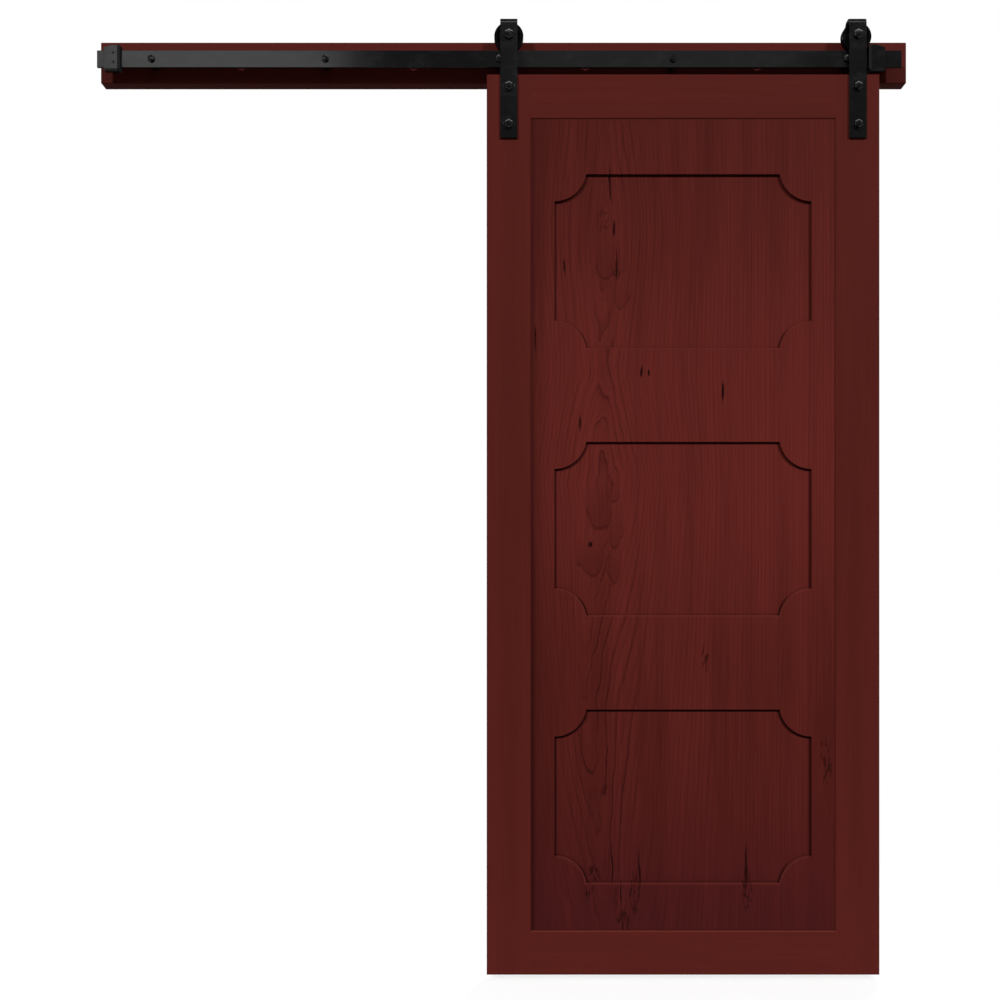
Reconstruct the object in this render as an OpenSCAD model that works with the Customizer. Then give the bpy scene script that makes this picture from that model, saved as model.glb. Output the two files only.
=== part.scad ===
// Sliding barn door: a framed door with a carved panel, hung by two strap hangers
// on a flat track that stands off a header board.
// Millimetres. X runs right along the track, Y runs back to the wall, Z runs up.
// The origin is the middle of the header board's wall face.

/* [Header board] */
// Length of the header board
header_l = 1905; // [1750:5:2400]
// Height of the header board
header_h = 97; // [80:1:140]
// Thickness of the header board
header_t = 38; // [30:1:60]
// Diameter of the four holes for the wall screws
wall_hole_d = 9.5; // [7:0.5:12]
// Diameter of the sinking for a wall screw's head
wall_sink_d = 24; // [18:1:34]
// Depth of the sinking for a wall screw's head
wall_sink_deep = 12; // [6:1:20]

/* [Track] */
// Length of the track bar
track_l = 1880; // [1740:5:2300]
// Height of the track bar
track_h = 40; // [34:1:50]
// Thickness of the track bar
track_t = 6; // [4:0.5:8]
// Sideways shift of the track from the middle of the header board
track_x = -10; // [-40:1:40]
// Height of the track's middle line above the header board's middle
track_z = -6; // [-12:1:12]
// Distance between the track's screws
screw_pitch = 406.4; // [380:0.1:420]
// Number of screws along the track
screw_count = 5; // [3:1:5]
// Length of the spacers between the header board and the track
spacer_l = 32; // [30:1:50]
// Outer diameter of the spacers
spacer_d = 22; // [16:1:30]
// Diameter of the track's lag screws
lag_d = 9.5; // [7:0.5:11]
// Width across flats of a lag screw's head
lag_head_w = 14.3; // [12:0.1:19]
// Height of a lag screw's head
lag_head_h = 6.2; // [4:0.1:8]
// Wood left behind the tip of a lag screw
lag_cover = 6; // [3:1:12]

/* [End stops] */
// Distance from the track's left end to the left stop
left_stop_inset = 18; // [10:1:60]
// Distance from the track's right end to the right stop
right_stop_inset = 41; // [10:1:80]
// Width of a stop block along the track
stop_w = 32; // [26:1:44]
// Height of a stop above the track's top edge
stop_above = 9.5; // [6:0.5:16]
// Depth of a stop below the track's lower edge
stop_below = 7; // [4:0.5:12]
// Length of the slope on a stop block's top, towards its outer end
stop_slope_l = 18; // [8:1:20]
// Fall of the slope at a stop block's outer end
stop_fall = 6; // [2:0.5:9]
// Wall of a stop block in front of the track and behind it
stop_wall = 9; // [7:0.5:10]
// Thickness of the rubber bumper on a stop
bumper_t = 6; // [3:0.5:12]
// Diameter of a stop's set screws
set_screw_d = 6; // [4:0.5:8]
// Distance between a stop's two set screws
set_screw_pitch = 22; // [16:1:24]
// Distance from the bumper to the set screws
set_screw_in = 9; // [6:0.5:14]

/* [Door] */
// Width of the door
door_w = 914.4; // [760:0.1:960]
// Height of the door
door_h = 2096; // [1900:1:2400]
// Thickness of the door
door_t = 35; // [32:1:45]
// Width of the two stiles
stile_w = 103; // [90:1:130]
// Height of the two rails
rail_w = 103; // [90:1:150]
// Gap between the track's lower edge and the top of the door
door_gap = 20.5; // [15:0.5:30]
// Easing of the wooden edges
wood_ease = 1.6; // [0.5:0.1:3]
// Width of the groove that holds the panel
groove_w = 12; // [11:0.5:14]
// Depth of the groove that holds the panel
groove_deep = 10; // [8:0.5:15]
// Diameter of the dowels in the frame's corners
dowel_d = 9.5; // [8:0.5:10]
// Distance between a corner's two dowels
dowel_pitch = 50; // [40:1:56]

/* [Panel] */
// Recess of the panel behind the frame's front face
panel_recess = 2; // [1:0.5:8]
// Recess of the panel behind the frame's back face
panel_back_recess = 6; // [3:0.5:8]
// Depth of the carved fields
field_deep = 7; // [3:0.5:9]
// Number of carved fields
field_count = 3; // [2:1:3]
// Height of a carved field
field_h = 404; // [320:1:430]
// Distance from the stiles to the fields
field_side = 55; // [30:1:90]
// Distance from the top rail to the first field
field_top = 129; // [60:1:160]
// Distance from the last field to the bottom rail
field_bottom = 110; // [60:1:160]
// Radius of the scooped corners of a field
scoop_r = 75; // [40:1:110]
// Distance of a scoop's centre outside the field's upper or lower line
scoop_out = 12; // [0:1:20]

/* [Hangers] */
// Width of the hanger strap
strap_w = 40; // [34:1:50]
// Thickness of the hanger strap
strap_t = 5; // [4:0.5:6]
// Inner radius of the strap's two bends
strap_bend_r = 7; // [3:0.5:9]
// Length of the strap on the door's face
strap_drop = 149; // [140:1:220]
// Length of the strap's back leg below the axle
strap_back = 22; // [18:1:26]
// Gap between the wheel and the strap over it
strap_clear = 1.5; // [1:0.5:5]
// Distance from the top of the door to the first door bolt
bolt_top = 30; // [24:1:36]
// Distance between the two door bolts
bolt_pitch = 88; // [70:1:95]
// Diameter of the door bolts
bolt_d = 10; // [8:0.5:12]
// Width across flats of the door bolts and their nuts
bolt_head_w = 17; // [15:0.5:19]
// Height of a door bolt's head
bolt_head_h = 6.5; // [5:0.5:9]
// Height of a door bolt's nut
bolt_nut_h = 8; // [6:0.5:10]
// Diameter of the door bolts' washers
washer_d = 26; // [22:1:34]
// Thickness of the door bolts' washers
washer_t = 2; // [1:0.5:3]

/* [Wheels] */
// Radius of the tread that runs on the track
tread_r = 30; // [27:0.5:36]
// Height of the wheel's flanges above the tread
flange_h = 4; // [3:0.5:8]
// Width of the wheel
wheel_w = 20; // [18:0.5:24]
// Width of the wheel's groove at the tread
tread_w = 8; // [7:0.5:11]
// Diameter of the axle bolt
axle_d = 12; // [10:0.5:13]
// Width across flats of the axle bolt's head and nut
axle_head_w = 19; // [17:0.5:22]
// Height of the axle bolt's head
axle_head_h = 7.5; // [5:0.5:10]
// Height of the axle nut
axle_nut_h = 8; // [6:0.5:9]
// Outer diameter of the bearing
bearing_d = 32; // [30:0.5:38]
// Width of the bearing
bearing_w = 10; // [8:0.5:12]
// Number of balls in the bearing
ball_count = 12; // [8:1:12]
// Length of the bush on each side of the bearing
bush_l = 9; // [8:0.5:11]

/* [Hidden] */
$fn = 64;

// Clearances
running_clear = 0.3; // wheel over the track
stop_clear = 0.5; // wheel beside a bumper at the end of its travel
place_step = 0.1; // the door's place is rounded to this
hole_clear = 0.3; // bolt in its hole, radial
seat_clear = 0.05; // tight seat, radial
glue_clear = 0.2; // tongue in a groove, each side
tongue_clear = 1; // tongue short of a groove's bottom
ball_clear = 0.1; // ball in its race
bolt_dowel_room = 12; // from a bolt's axis to the end of a dowel
thread_tail = 3; // bolt's end past its nut
flank_slope = 1; // groove's flank, sideways over the flange's height
steel_ease = 0.6; // broken edges of bar and block
clip_t = 1.1; // spring clip that holds the bearing in the wheel
clip_bite = 0.9; // clip in its groove, radial
clip_gap = 8; // opening of the clip
dish_deep = 3; // hollow in the wheel's sides
hub_wall = 3; // wheel round its bearing seat
rim_wall = 4; // wheel between its hollow and the tread
race_shoulder = 1.1; // race's shoulder over the ball groove
head_flat = 0.95; // flat end of a hexagon head, of its width across flats
lag_point = 12; // length of a lag screw's pointed end

// Track, seen from the side
track_mid_y = -(header_t + spacer_l + track_t / 2);
track_front_y = track_mid_y - track_t / 2;
track_back_y = track_mid_y + track_t / 2;
track_top = track_z + track_h / 2;
track_low = track_z - track_h / 2;
track_left = track_x - track_l / 2;
track_right = track_x + track_l / 2;

// Wheels and hangers, seen from the side
flange_r = tread_r + flange_h;
axle_z = track_top + running_clear + tread_r;
strap_room = bearing_w + 2 * bush_l;
strap_back_y = track_mid_y + strap_room / 2;
strap_top = axle_z + flange_r + strap_clear + strap_t;

// Door, seen from the side
door_front_y = track_mid_y - strap_room / 2;
door_back_y = door_front_y + door_t;
door_mid_y = door_front_y + door_t / 2;
door_top = track_low - door_gap;
door_low = door_top - door_h;
strap_front_y = door_front_y - strap_t;
bolt_zs = [door_top - bolt_top, door_top - bolt_top - bolt_pitch];

// Stops and the door's place at the right end of its travel
stop_top = track_top + stop_above;
stop_h = stop_above + track_h + stop_below;
stop_mid_z = stop_top - stop_h / 2;
wheel_touch = sqrt(pow(flange_r, 2) - pow(axle_z - stop_top, 2));
wheel_reach = ceil((wheel_touch + stop_clear) / place_step) * place_step;
right_bumper_x = track_right - right_stop_inset - stop_w - bumper_t;
left_bumper_x = track_left + left_stop_inset + stop_w + bumper_t;
right_wheel_x = right_bumper_x - wheel_reach;
door_right = right_wheel_x + stile_w / 2;
door_left = door_right - door_w;
door_mid_x = (door_left + door_right) / 2;
left_wheel_x = door_left + stile_w / 2;

// Panel opening and fields
open_w = door_w - 2 * stile_w;
open_h = door_h - 2 * rail_w;
open_top = door_top - rail_w;
tongue_l = groove_deep - tongue_clear;
tongue_t = groove_w - 2 * glue_clear;
panel_t = door_t - panel_recess - panel_back_recess;
panel_front_y = door_front_y + panel_recess;
field_w = open_w - 2 * field_side;
field_pitch = (open_h - field_top - field_bottom - field_h) / (field_count - 1);
dowel_end = stile_w / 2 - bolt_dowel_room;

// Bearing
axle_r = axle_d / 2;
ring_bore_r = axle_r + seat_clear;
bearing_r = bearing_d / 2;
ball_r = 0.28 * (bearing_r - axle_r);
ball_path_r = (bearing_r + axle_r) / 2;
ball_groove_r = ball_r + ball_clear;
inner_ring_r = ball_path_r - ball_groove_r + race_shoulder;
outer_ring_r = ball_path_r + ball_groove_r - race_shoulder;

screw_xs = [for (i = [0 : screw_count - 1]) track_x + (i - (screw_count - 1) / 2) * screw_pitch];
wall_hole_xs = [for (i = [0 : screw_count - 2]) screw_xs[i] + screw_pitch / 2];

stain = "#55201c";
black_coat = "#1b1b1d";
bare_steel = "#8e9094";
black_rubber = "#151515";
bare_wood = "#b98d5e";

// Turns a shape so that its own Z points out of the door's front
module facing_front(x, y, z) {
    translate([x, y, z]) rotate([90, 0, 0]) children();
}

// Rectangle about the origin with cut corners
module eased_rectangle(w, h, ease) {
    polygon([
        [-w / 2 + ease, -h / 2], [w / 2 - ease, -h / 2],
        [w / 2, -h / 2 + ease], [w / 2, h / 2 - ease],
        [w / 2 - ease, h / 2], [-w / 2 + ease, h / 2],
        [-w / 2, h / 2 - ease], [-w / 2, -h / 2 + ease]
    ]);
}

// Box about the origin with every edge eased
module eased_box(w, d, h, ease) {
    intersection() {
        linear_extrude(height = h, center = true) eased_rectangle(w, d, ease);
        rotate([90, 0, 0]) linear_extrude(height = d, center = true) eased_rectangle(w, h, ease);
        rotate([90, 0, 90]) linear_extrude(height = w, center = true) eased_rectangle(d, h, ease);
    }
}

// Hexagon, a corner up, with its outer corners turned off at the far end, and at both ends for a nut
module hexagon(across, h, both_ends) {
    corner_r = across / 2 / cos(30);
    end_r = across / 2 * head_flat;
    drop = (corner_r - end_r) * tan(30);
    near_r = both_ends ? end_r : corner_r;
    near_drop = both_ends ? drop : 0;
    intersection() {
        rotate([0, 0, 30]) cylinder(h = h, r = corner_r, $fn = 6);
        rotate_extrude() polygon([
            [0, 0], [near_r, 0], [corner_r, near_drop],
            [corner_r, h - drop], [end_r, h], [0, h]
        ]);
    }
}

// Hexagon bolt with its head in front of z = 0, whose shank ends in a short chamfer
module hex_bolt(d, l, across, head_h) {
    hexagon(across, head_h, false);
    rotate_extrude() polygon([
        [0, 0], [d / 2, 0], [d / 2, -l + steel_ease], [d / 2 - steel_ease, -l], [0, -l]
    ]);
}

module hex_nut(d, across, h) {
    difference() {
        hexagon(across, h, true);
        translate([0, 0, -h]) cylinder(h = 3 * h, r = d / 2 + seat_clear);
    }
}

module tube(outer_r, inner_r, l) {
    difference() {
        cylinder(h = l, r = outer_r);
        translate([0, 0, -l]) cylinder(h = 3 * l, r = inner_r);
    }
}

// Header board, with blind holes for the lag screws and sunk holes for the wall screws
module header_board() {
    color(stain) difference() {
        translate([0, -header_t / 2, 0]) eased_box(header_l, header_t, header_h, wood_ease);
        for (x = screw_xs)
            facing_front(x, -lag_cover, track_z) cylinder(h = header_t, d = lag_d + 2 * seat_clear);
        for (x = wall_hole_xs) {
            facing_front(x, header_t, track_z) cylinder(h = 3 * header_t, d = wall_hole_d);
            facing_front(x, wall_sink_deep - header_t, track_z)
                cylinder(h = header_t, d = wall_sink_d);
        }
    }
}

module track_bar() {
    color(black_coat) difference() {
        translate([track_x, track_mid_y, track_z]) eased_box(track_l, track_t, track_h, steel_ease);
        for (x = screw_xs)
            facing_front(x, track_back_y + track_t, track_z)
                cylinder(h = 3 * track_t, r = lag_d / 2 + hole_clear);
    }
}

module track_spacers() {
    color(black_coat) for (x = screw_xs)
        facing_front(x, -header_t, track_z) tube(spacer_d / 2, lag_d / 2 + hole_clear, spacer_l);
}

module track_lag_screws() {
    shank = track_t + spacer_l + header_t - lag_cover;
    color(black_coat) for (x = screw_xs) facing_front(x, track_front_y, track_z) {
        hexagon(lag_head_w, lag_head_h, false);
        rotate_extrude() polygon([
            [0, 0], [lag_d / 2, 0], [lag_d / 2, lag_point - shank], [0, -shank]
        ]);
    }
}

// Cross-section of a stop with the slot that the track runs through, in Y and Z
module stop_section() {
    difference() {
        eased_rectangle(track_t + 2 * stop_wall, stop_h, steel_ease);
        translate([0, track_z - stop_mid_z]) square([track_t, track_h], center = true);
    }
}

// Slice of the stop's section, w wide, with its left side at x
module stop_slice(x, w) {
    translate([x, track_mid_y, stop_mid_z])
        rotate([90, 0, 90]) linear_extrude(height = w) stop_section();
}

// Places of a stop's set screws. Its block runs from the bumper at x to the side where out points.
module stop_screw_places(x, out) {
    for (side = [-1, 1])
        facing_front(x + out * set_screw_in, track_front_y, track_z + side * set_screw_pitch / 2)
            children();
}

// Wedge that slopes a stop block's top, from the front, with the block's inner top corner at the origin
module stop_slope(out) {
    past = stop_w + stop_slope_l;
    polygon([
        [out * (stop_w - stop_slope_l), 0],
        [out * (stop_w + past), -stop_fall * (stop_slope_l + past) / stop_slope_l],
        [out * (stop_w + past), stop_h]
    ]);
}

module stop_block(x, out) {
    color(black_coat) difference() {
        stop_slice(out > 0 ? x : x - stop_w, stop_w);
        facing_front(x, track_mid_y, stop_top)
            linear_extrude(height = 4 * (track_t + stop_wall), center = true) stop_slope(out);
        stop_screw_places(x, out) cylinder(h = 2 * stop_wall, d = set_screw_d);
    }
}

module stop_bumper(x) {
    color(black_rubber) stop_slice(x, bumper_t);
}

// Socket set screws that clamp a stop on the track
module stop_screws(x, out) {
    socket_w = set_screw_d / 2;
    color(bare_steel) stop_screw_places(x, out) difference() {
        cylinder(h = stop_wall, d = set_screw_d - 2 * seat_clear);
        translate([0, 0, stop_wall / 2])
            cylinder(h = stop_wall, r = socket_w / 2 / cos(30), $fn = 6);
    }
}

// Long wedge that eases an edge, along X unless it is turned
module edge_cut(l, turn) {
    side = wood_ease * sqrt(2);
    rotate(turn) rotate([45, 0, 0]) cube([l, side, side], center = true);
}

// Easing of the two level edges at heights zs, on the door's front and back faces
module level_eases(zs, l) {
    for (y = [door_front_y, door_back_y], z = zs)
        translate([door_mid_x, y, z]) edge_cut(l, [0, 0, 0]);
}

// Easing of an upright edge at x, on the door's front and back faces
module upright_eases(x, l) {
    for (y = [door_front_y, door_back_y])
        translate([x, y, door_top - door_h / 2]) edge_cut(l, [0, 90, 0]);
}

// Dowels of one rail's two ends, in the rail's own frame
module rail_dowels(d, l) {
    for (end = [-1, 1], row = [-1, 1])
        translate([end * open_w / 2, 0, -rail_w / 2 + row * dowel_pitch / 2])
            rotate([0, 90, 0]) cylinder(h = l, d = d, center = true);
}

// Puts a rail's own frame, with its outer edge at z = 0, at the top or the bottom of the door
module at_rail(top) {
    translate([door_mid_x, door_mid_y, top ? door_top : door_low])
        mirror([0, 0, top ? 0 : 1]) children();
}

module both_rails() {
    at_rail(true) children();
    at_rail(false) children();
}

// Stile with the panel's groove in its inner edge, on the side where inner points
module stile(x_low, inner) {
    inner_x = x_low + (inner > 0 ? stile_w : 0);
    outer_x = x_low + (inner > 0 ? 0 : stile_w);
    color(stain) difference() {
        translate([x_low, door_front_y, door_low]) cube([stile_w, door_t, door_h]);
        translate([inner_x - groove_deep, door_mid_y - groove_w / 2, door_low - door_h])
            cube([2 * groove_deep, groove_w, 3 * door_h]);
        both_rails() rail_dowels(dowel_d + 2 * seat_clear, 2 * dowel_end + 2 * tongue_clear);
        for (z = bolt_zs)
            facing_front(inner > 0 ? left_wheel_x : right_wheel_x, door_back_y + door_t, z)
                cylinder(h = 3 * door_t, r = bolt_d / 2 + hole_clear);
        upright_eases(outer_x, 2 * door_h);
        upright_eases(inner_x, open_h);
        level_eases([door_top, door_low], 2 * door_w);
    }
}

// Rail with stub tenons for the stiles and the panel's groove in its inner edge
module rail(top) {
    tenon_h = rail_w - groove_deep;
    color(stain) difference() {
        at_rail(top) difference() {
            union() {
                translate([-open_w / 2, -door_t / 2, -rail_w]) cube([open_w, door_t, rail_w]);
                translate([-open_w / 2 - tongue_l, -tongue_t / 2, -tenon_h])
                    cube([open_w + 2 * tongue_l, tongue_t, tenon_h]);
            }
            translate([-open_w, -groove_w / 2, -rail_w - groove_deep])
                cube([2 * open_w, groove_w, 2 * groove_deep]);
            rail_dowels(dowel_d + 2 * seat_clear, 2 * dowel_end + 2 * tongue_clear);
        }
        level_eases(top ? [door_top, open_top] : [door_low, open_top - open_h], 2 * door_w);
    }
}

// Outline of one carved field: a rectangle whose corners are scooped out
module field_outline() {
    difference() {
        square([field_w, field_h], center = true);
        for (sx = [-1, 1], sz = [-1, 1])
            translate([sx * field_w / 2, sz * (field_h / 2 + scoop_out)]) circle(r = scoop_r);
    }
}

// Panel held by a tongue in the frame's grooves, with the fields carved in its front
module door_panel() {
    color(stain) difference() {
        union() {
            translate([door_mid_x - open_w / 2, panel_front_y, open_top - open_h])
                cube([open_w, panel_t, open_h]);
            translate([door_mid_x, door_mid_y, open_top - open_h / 2])
                cube([open_w + 2 * tongue_l, tongue_t, open_h + 2 * tongue_l], center = true);
        }
        for (i = [0 : field_count - 1])
            facing_front(door_mid_x, panel_front_y + field_deep,
                         open_top - field_top - field_h / 2 - i * field_pitch)
                linear_extrude(height = 2 * field_deep) field_outline();
    }
}

module corner_dowels() {
    color(bare_wood) both_rails() rail_dowels(dowel_d, 2 * dowel_end);
}

// Quarter of a ring for a bend of the strap, in the quadrant where side points
module strap_bend(side) {
    outer_r = strap_bend_r + strap_t;
    intersection() {
        difference() {
            circle(r = outer_r);
            circle(r = strap_bend_r);
        }
        translate([side > 0 ? 0 : -outer_r, 0]) square(outer_r);
    }
}

// Side view of the strap: a front leg on the door, two bends over the wheel and a back leg
module strap_profile() {
    bend_z = strap_top - strap_t - strap_bend_r;
    front_in = door_front_y;
    back_in = strap_back_y;
    strap_end = door_top - strap_drop;
    back_end = axle_z - strap_back;
    translate([strap_front_y, strap_end]) square([strap_t, bend_z - strap_end]);
    translate([back_in, back_end]) square([strap_t, bend_z - back_end]);
    translate([front_in + strap_bend_r, strap_top - strap_t])
        square([strap_room - 2 * strap_bend_r, strap_t]);
    translate([front_in + strap_bend_r, bend_z]) strap_bend(-1);
    translate([back_in - strap_bend_r, bend_z]) strap_bend(1);
}

module hanger_strap(x) {
    through = 4 * strap_room;
    color(black_coat) difference() {
        translate([x - strap_w / 2, 0, 0])
            rotate([90, 0, 90]) linear_extrude(height = strap_w) strap_profile();
        facing_front(x, track_mid_y + through / 2, axle_z)
            cylinder(h = through, r = axle_r + hole_clear);
        for (z = bolt_zs)
            facing_front(x, door_front_y + strap_t, z)
                cylinder(h = 3 * strap_t, r = bolt_d / 2 + hole_clear);
    }
}

module hanger_bolts(x) {
    shank = washer_t + strap_t + door_t + washer_t + bolt_nut_h + thread_tail;
    color(black_coat) for (z = bolt_zs)
        facing_front(x, strap_front_y - washer_t, z)
            hex_bolt(bolt_d, shank, bolt_head_w, bolt_head_h);
}

module hanger_washers(x) {
    color(black_coat) for (z = bolt_zs, y = [strap_front_y, door_back_y + washer_t])
        facing_front(x, y, z) tube(washer_d / 2, bolt_d / 2 + hole_clear, washer_t);
}

module hanger_nuts(x) {
    color(black_coat) for (z = bolt_zs)
        facing_front(x, door_back_y + washer_t + bolt_nut_h, z)
            hex_nut(bolt_d, bolt_head_w, bolt_nut_h);
}

module axle_bolt(x) {
    shank = strap_t + strap_room + strap_t + axle_nut_h + thread_tail;
    color(black_coat) facing_front(x, strap_front_y, axle_z)
        hex_bolt(axle_d, shank, axle_head_w, axle_head_h);
}

module axle_nut(x) {
    color(black_coat) facing_front(x, strap_back_y + strap_t + axle_nut_h, axle_z)
        hex_nut(axle_d, axle_head_w, axle_nut_h);
}

// Bush between the strap and the bearing's inner ring, with its back end at y
module axle_bush(x, y) {
    color(bare_steel) facing_front(x, y, axle_z) tube(inner_ring_r, ring_bore_r, bush_l);
}

// Ring of the bearing, from radius inside to radius outside, with the ball groove
module bearing_ring(x, inside, outside) {
    color(bare_steel) facing_front(x, track_mid_y, axle_z) rotate_extrude() difference() {
        translate([inside, -bearing_w / 2]) square([outside - inside, bearing_w]);
        translate([ball_path_r, 0]) circle(r = ball_groove_r);
    }
}

module bearing_balls(x) {
    color(bare_steel) facing_front(x, track_mid_y, axle_z)
        for (i = [0 : ball_count - 1])
            rotate([0, 0, i * 360 / ball_count]) translate([ball_path_r, 0, 0]) sphere(r = ball_r);
}

// Spring clip in front of the bearing, open at the top
module bearing_clip(x) {
    clip_out = bearing_r + clip_bite;
    color(bare_steel) facing_front(x, track_mid_y - bearing_w / 2, axle_z) difference() {
        tube(clip_out, outer_ring_r + race_shoulder, clip_t);
        translate([-clip_gap / 2, 0, -clip_t]) cube([clip_gap, 2 * clip_out, 3 * clip_t]);
    }
}

// Half of the wheel's outline in radius and width, from its bore to its flanges
module wheel_section() {
    half = wheel_w / 2;
    seat_r = bearing_r + seat_clear;
    dish_in = bearing_r + hub_wall;
    dish_out = tread_r - rim_wall;
    difference() {
        polygon([
            [outer_ring_r + race_shoulder, -half], [flange_r - steel_ease, -half],
            [flange_r, -half + steel_ease], [flange_r, -tread_w / 2 - flank_slope],
            [tread_r, -tread_w / 2], [tread_r, tread_w / 2],
            [flange_r, tread_w / 2 + flank_slope], [flange_r, half - steel_ease],
            [flange_r - steel_ease, half], [outer_ring_r + race_shoulder, half]
        ]);
        translate([0, -bearing_w / 2]) square([seat_r, wheel_w]);
        translate([0, bearing_w / 2]) square([bearing_r + clip_bite + seat_clear, clip_t + seat_clear]);
        for (side = [-1, 1])
            translate([(dish_in + dish_out) / 2, side * half])
                square([dish_out - dish_in, 2 * dish_deep], center = true);
    }
}

module wheel(x) {
    color(black_coat) facing_front(x, track_mid_y, axle_z) rotate_extrude() wheel_section();
}

header_board();
track_bar();
track_spacers();
track_lag_screws();

stop_block(left_bumper_x - bumper_t, -1);  // left_stop_block
stop_bumper(left_bumper_x - bumper_t);  // left_stop_bumper
stop_screws(left_bumper_x - bumper_t, -1);  // left_stop_screws
stop_block(right_bumper_x + bumper_t, 1);  // right_stop_block
stop_bumper(right_bumper_x);  // right_stop_bumper
stop_screws(right_bumper_x + bumper_t, 1);  // right_stop_screws

stile(door_left, 1);  // left_stile
stile(door_right - stile_w, -1);  // right_stile
rail(true);  // top_rail
rail(false);  // bottom_rail
door_panel();
corner_dowels();

hanger_strap(left_wheel_x);  // left_hanger_strap
hanger_bolts(left_wheel_x);  // left_hanger_bolts
hanger_washers(left_wheel_x);  // left_hanger_washers
hanger_nuts(left_wheel_x);  // left_hanger_nuts
axle_bolt(left_wheel_x);  // left_axle_bolt
axle_nut(left_wheel_x);  // left_axle_nut
axle_bush(left_wheel_x, track_mid_y - bearing_w / 2);  // left_front_bush
axle_bush(left_wheel_x, strap_back_y);  // left_rear_bush
bearing_ring(left_wheel_x, ring_bore_r, inner_ring_r);  // left_bearing_inner_ring
bearing_ring(left_wheel_x, outer_ring_r, bearing_r);  // left_bearing_outer_ring
bearing_balls(left_wheel_x);  // left_bearing_balls
bearing_clip(left_wheel_x);  // left_bearing_clip
wheel(left_wheel_x);  // left_wheel

hanger_strap(right_wheel_x);  // right_hanger_strap
hanger_bolts(right_wheel_x);  // right_hanger_bolts
hanger_washers(right_wheel_x);  // right_hanger_washers
hanger_nuts(right_wheel_x);  // right_hanger_nuts
axle_bolt(right_wheel_x);  // right_axle_bolt
axle_nut(right_wheel_x);  // right_axle_nut
axle_bush(right_wheel_x, track_mid_y - bearing_w / 2);  // right_front_bush
axle_bush(right_wheel_x, strap_back_y);  // right_rear_bush
bearing_ring(right_wheel_x, ring_bore_r, inner_ring_r);  // right_bearing_inner_ring
bearing_ring(right_wheel_x, outer_ring_r, bearing_r);  // right_bearing_outer_ring
bearing_balls(right_wheel_x);  // right_bearing_balls
bearing_clip(right_wheel_x);  // right_bearing_clip
wheel(right_wheel_x);  // right_wheel
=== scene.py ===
import math

import bmesh
import bpy
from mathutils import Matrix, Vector


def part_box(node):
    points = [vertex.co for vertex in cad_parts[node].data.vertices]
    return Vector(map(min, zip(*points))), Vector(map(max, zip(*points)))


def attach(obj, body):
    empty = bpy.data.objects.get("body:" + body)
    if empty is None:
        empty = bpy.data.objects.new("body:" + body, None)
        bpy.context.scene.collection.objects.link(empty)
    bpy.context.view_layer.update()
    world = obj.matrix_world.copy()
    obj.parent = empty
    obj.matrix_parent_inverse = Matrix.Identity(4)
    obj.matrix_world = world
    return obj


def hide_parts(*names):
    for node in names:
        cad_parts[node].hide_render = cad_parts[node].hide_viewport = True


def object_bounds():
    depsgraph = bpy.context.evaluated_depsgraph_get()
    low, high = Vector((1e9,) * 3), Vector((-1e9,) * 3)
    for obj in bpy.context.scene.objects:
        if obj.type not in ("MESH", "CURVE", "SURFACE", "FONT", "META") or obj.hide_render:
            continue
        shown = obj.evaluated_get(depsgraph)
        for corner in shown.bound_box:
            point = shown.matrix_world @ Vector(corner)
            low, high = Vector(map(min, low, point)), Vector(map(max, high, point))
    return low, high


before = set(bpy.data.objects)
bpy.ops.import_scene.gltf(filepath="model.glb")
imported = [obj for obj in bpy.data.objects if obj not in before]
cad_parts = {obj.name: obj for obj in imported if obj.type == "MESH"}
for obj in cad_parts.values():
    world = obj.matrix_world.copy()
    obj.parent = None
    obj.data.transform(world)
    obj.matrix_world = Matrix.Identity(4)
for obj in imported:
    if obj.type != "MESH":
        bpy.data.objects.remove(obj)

# A sliding barn door: stained boards and a carved panel, hung by black strap hangers on a flat track.
# Sizes are in metres. X runs along the track, Y towards the wall and Z up.

cad_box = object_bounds()
scene = bpy.context.scene
MM = 0.001
SIDES = ("left", "right")

# The door's own corners, from which the wood figure and the camera take their places
door_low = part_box("left_stile")[0]
door_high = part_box("right_stile")[1]
door_width = door_high.x - door_low.x
door_middle = (door_low.x + door_high.x) / 2
panel_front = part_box("door_panel")[0].y

# The carved fields: their edges from the points of the panel's floors, and the sizes that all three share
FIELD_COUNT = 3
FIELD_DEEP = 7 * MM
FIELD_HEIGHT = 404 * MM
FIELD_SCOOP = 75 * MM
FIELD_SCOOP_OUT = 12 * MM
FIELD_FLOOR_NEAR = 0.1 * MM
field_points = [
    corner.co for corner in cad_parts["door_panel"].data.vertices
    if abs(corner.co.y - panel_front - FIELD_DEEP) < FIELD_FLOOR_NEAR
]
field_left = min(point.x for point in field_points)
field_right = max(point.x for point in field_points)
field_foot = min(point.z for point in field_points)
field_head = max(point.z for point in field_points)
field_pitch = (field_head - field_foot - FIELD_HEIGHT) / (FIELD_COUNT - 1)
panel_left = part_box("left_stile")[1].x
panel_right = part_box("right_stile")[0].x
panel_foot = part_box("bottom_rail")[1].z
panel_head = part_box("top_rail")[0].z

# Where the photograph shows the door, in its pixels, and how far off the camera stands
PHOTO_SIDE = 1000
PHOTO_DOOR_LEFT = 486.7
PHOTO_DOOR_RIGHT = 879.6
PHOTO_DOOR_TOP = 74.3
PHOTO_HORIZON = 590
CAMERA_REACH = 3.0
SENSOR = 36.0

# Welding and softening of the boards and the ironwork
WELD = 0.01 * MM
FLAT_ANGLE = math.radians(0.5)
SHARP_ANGLE = math.radians(35)
TURNED_SHARP_ANGLE = math.radians(20)
ROUNDING_STEPS = 2
ROUND_PROFILE = 0.5
BOARD_EASE = 0.5 * MM
PANEL_EASE = 0.6 * MM
STEEL_EASE = 0.7 * MM
SET_SCREW_EASE = 0.3 * MM

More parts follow.
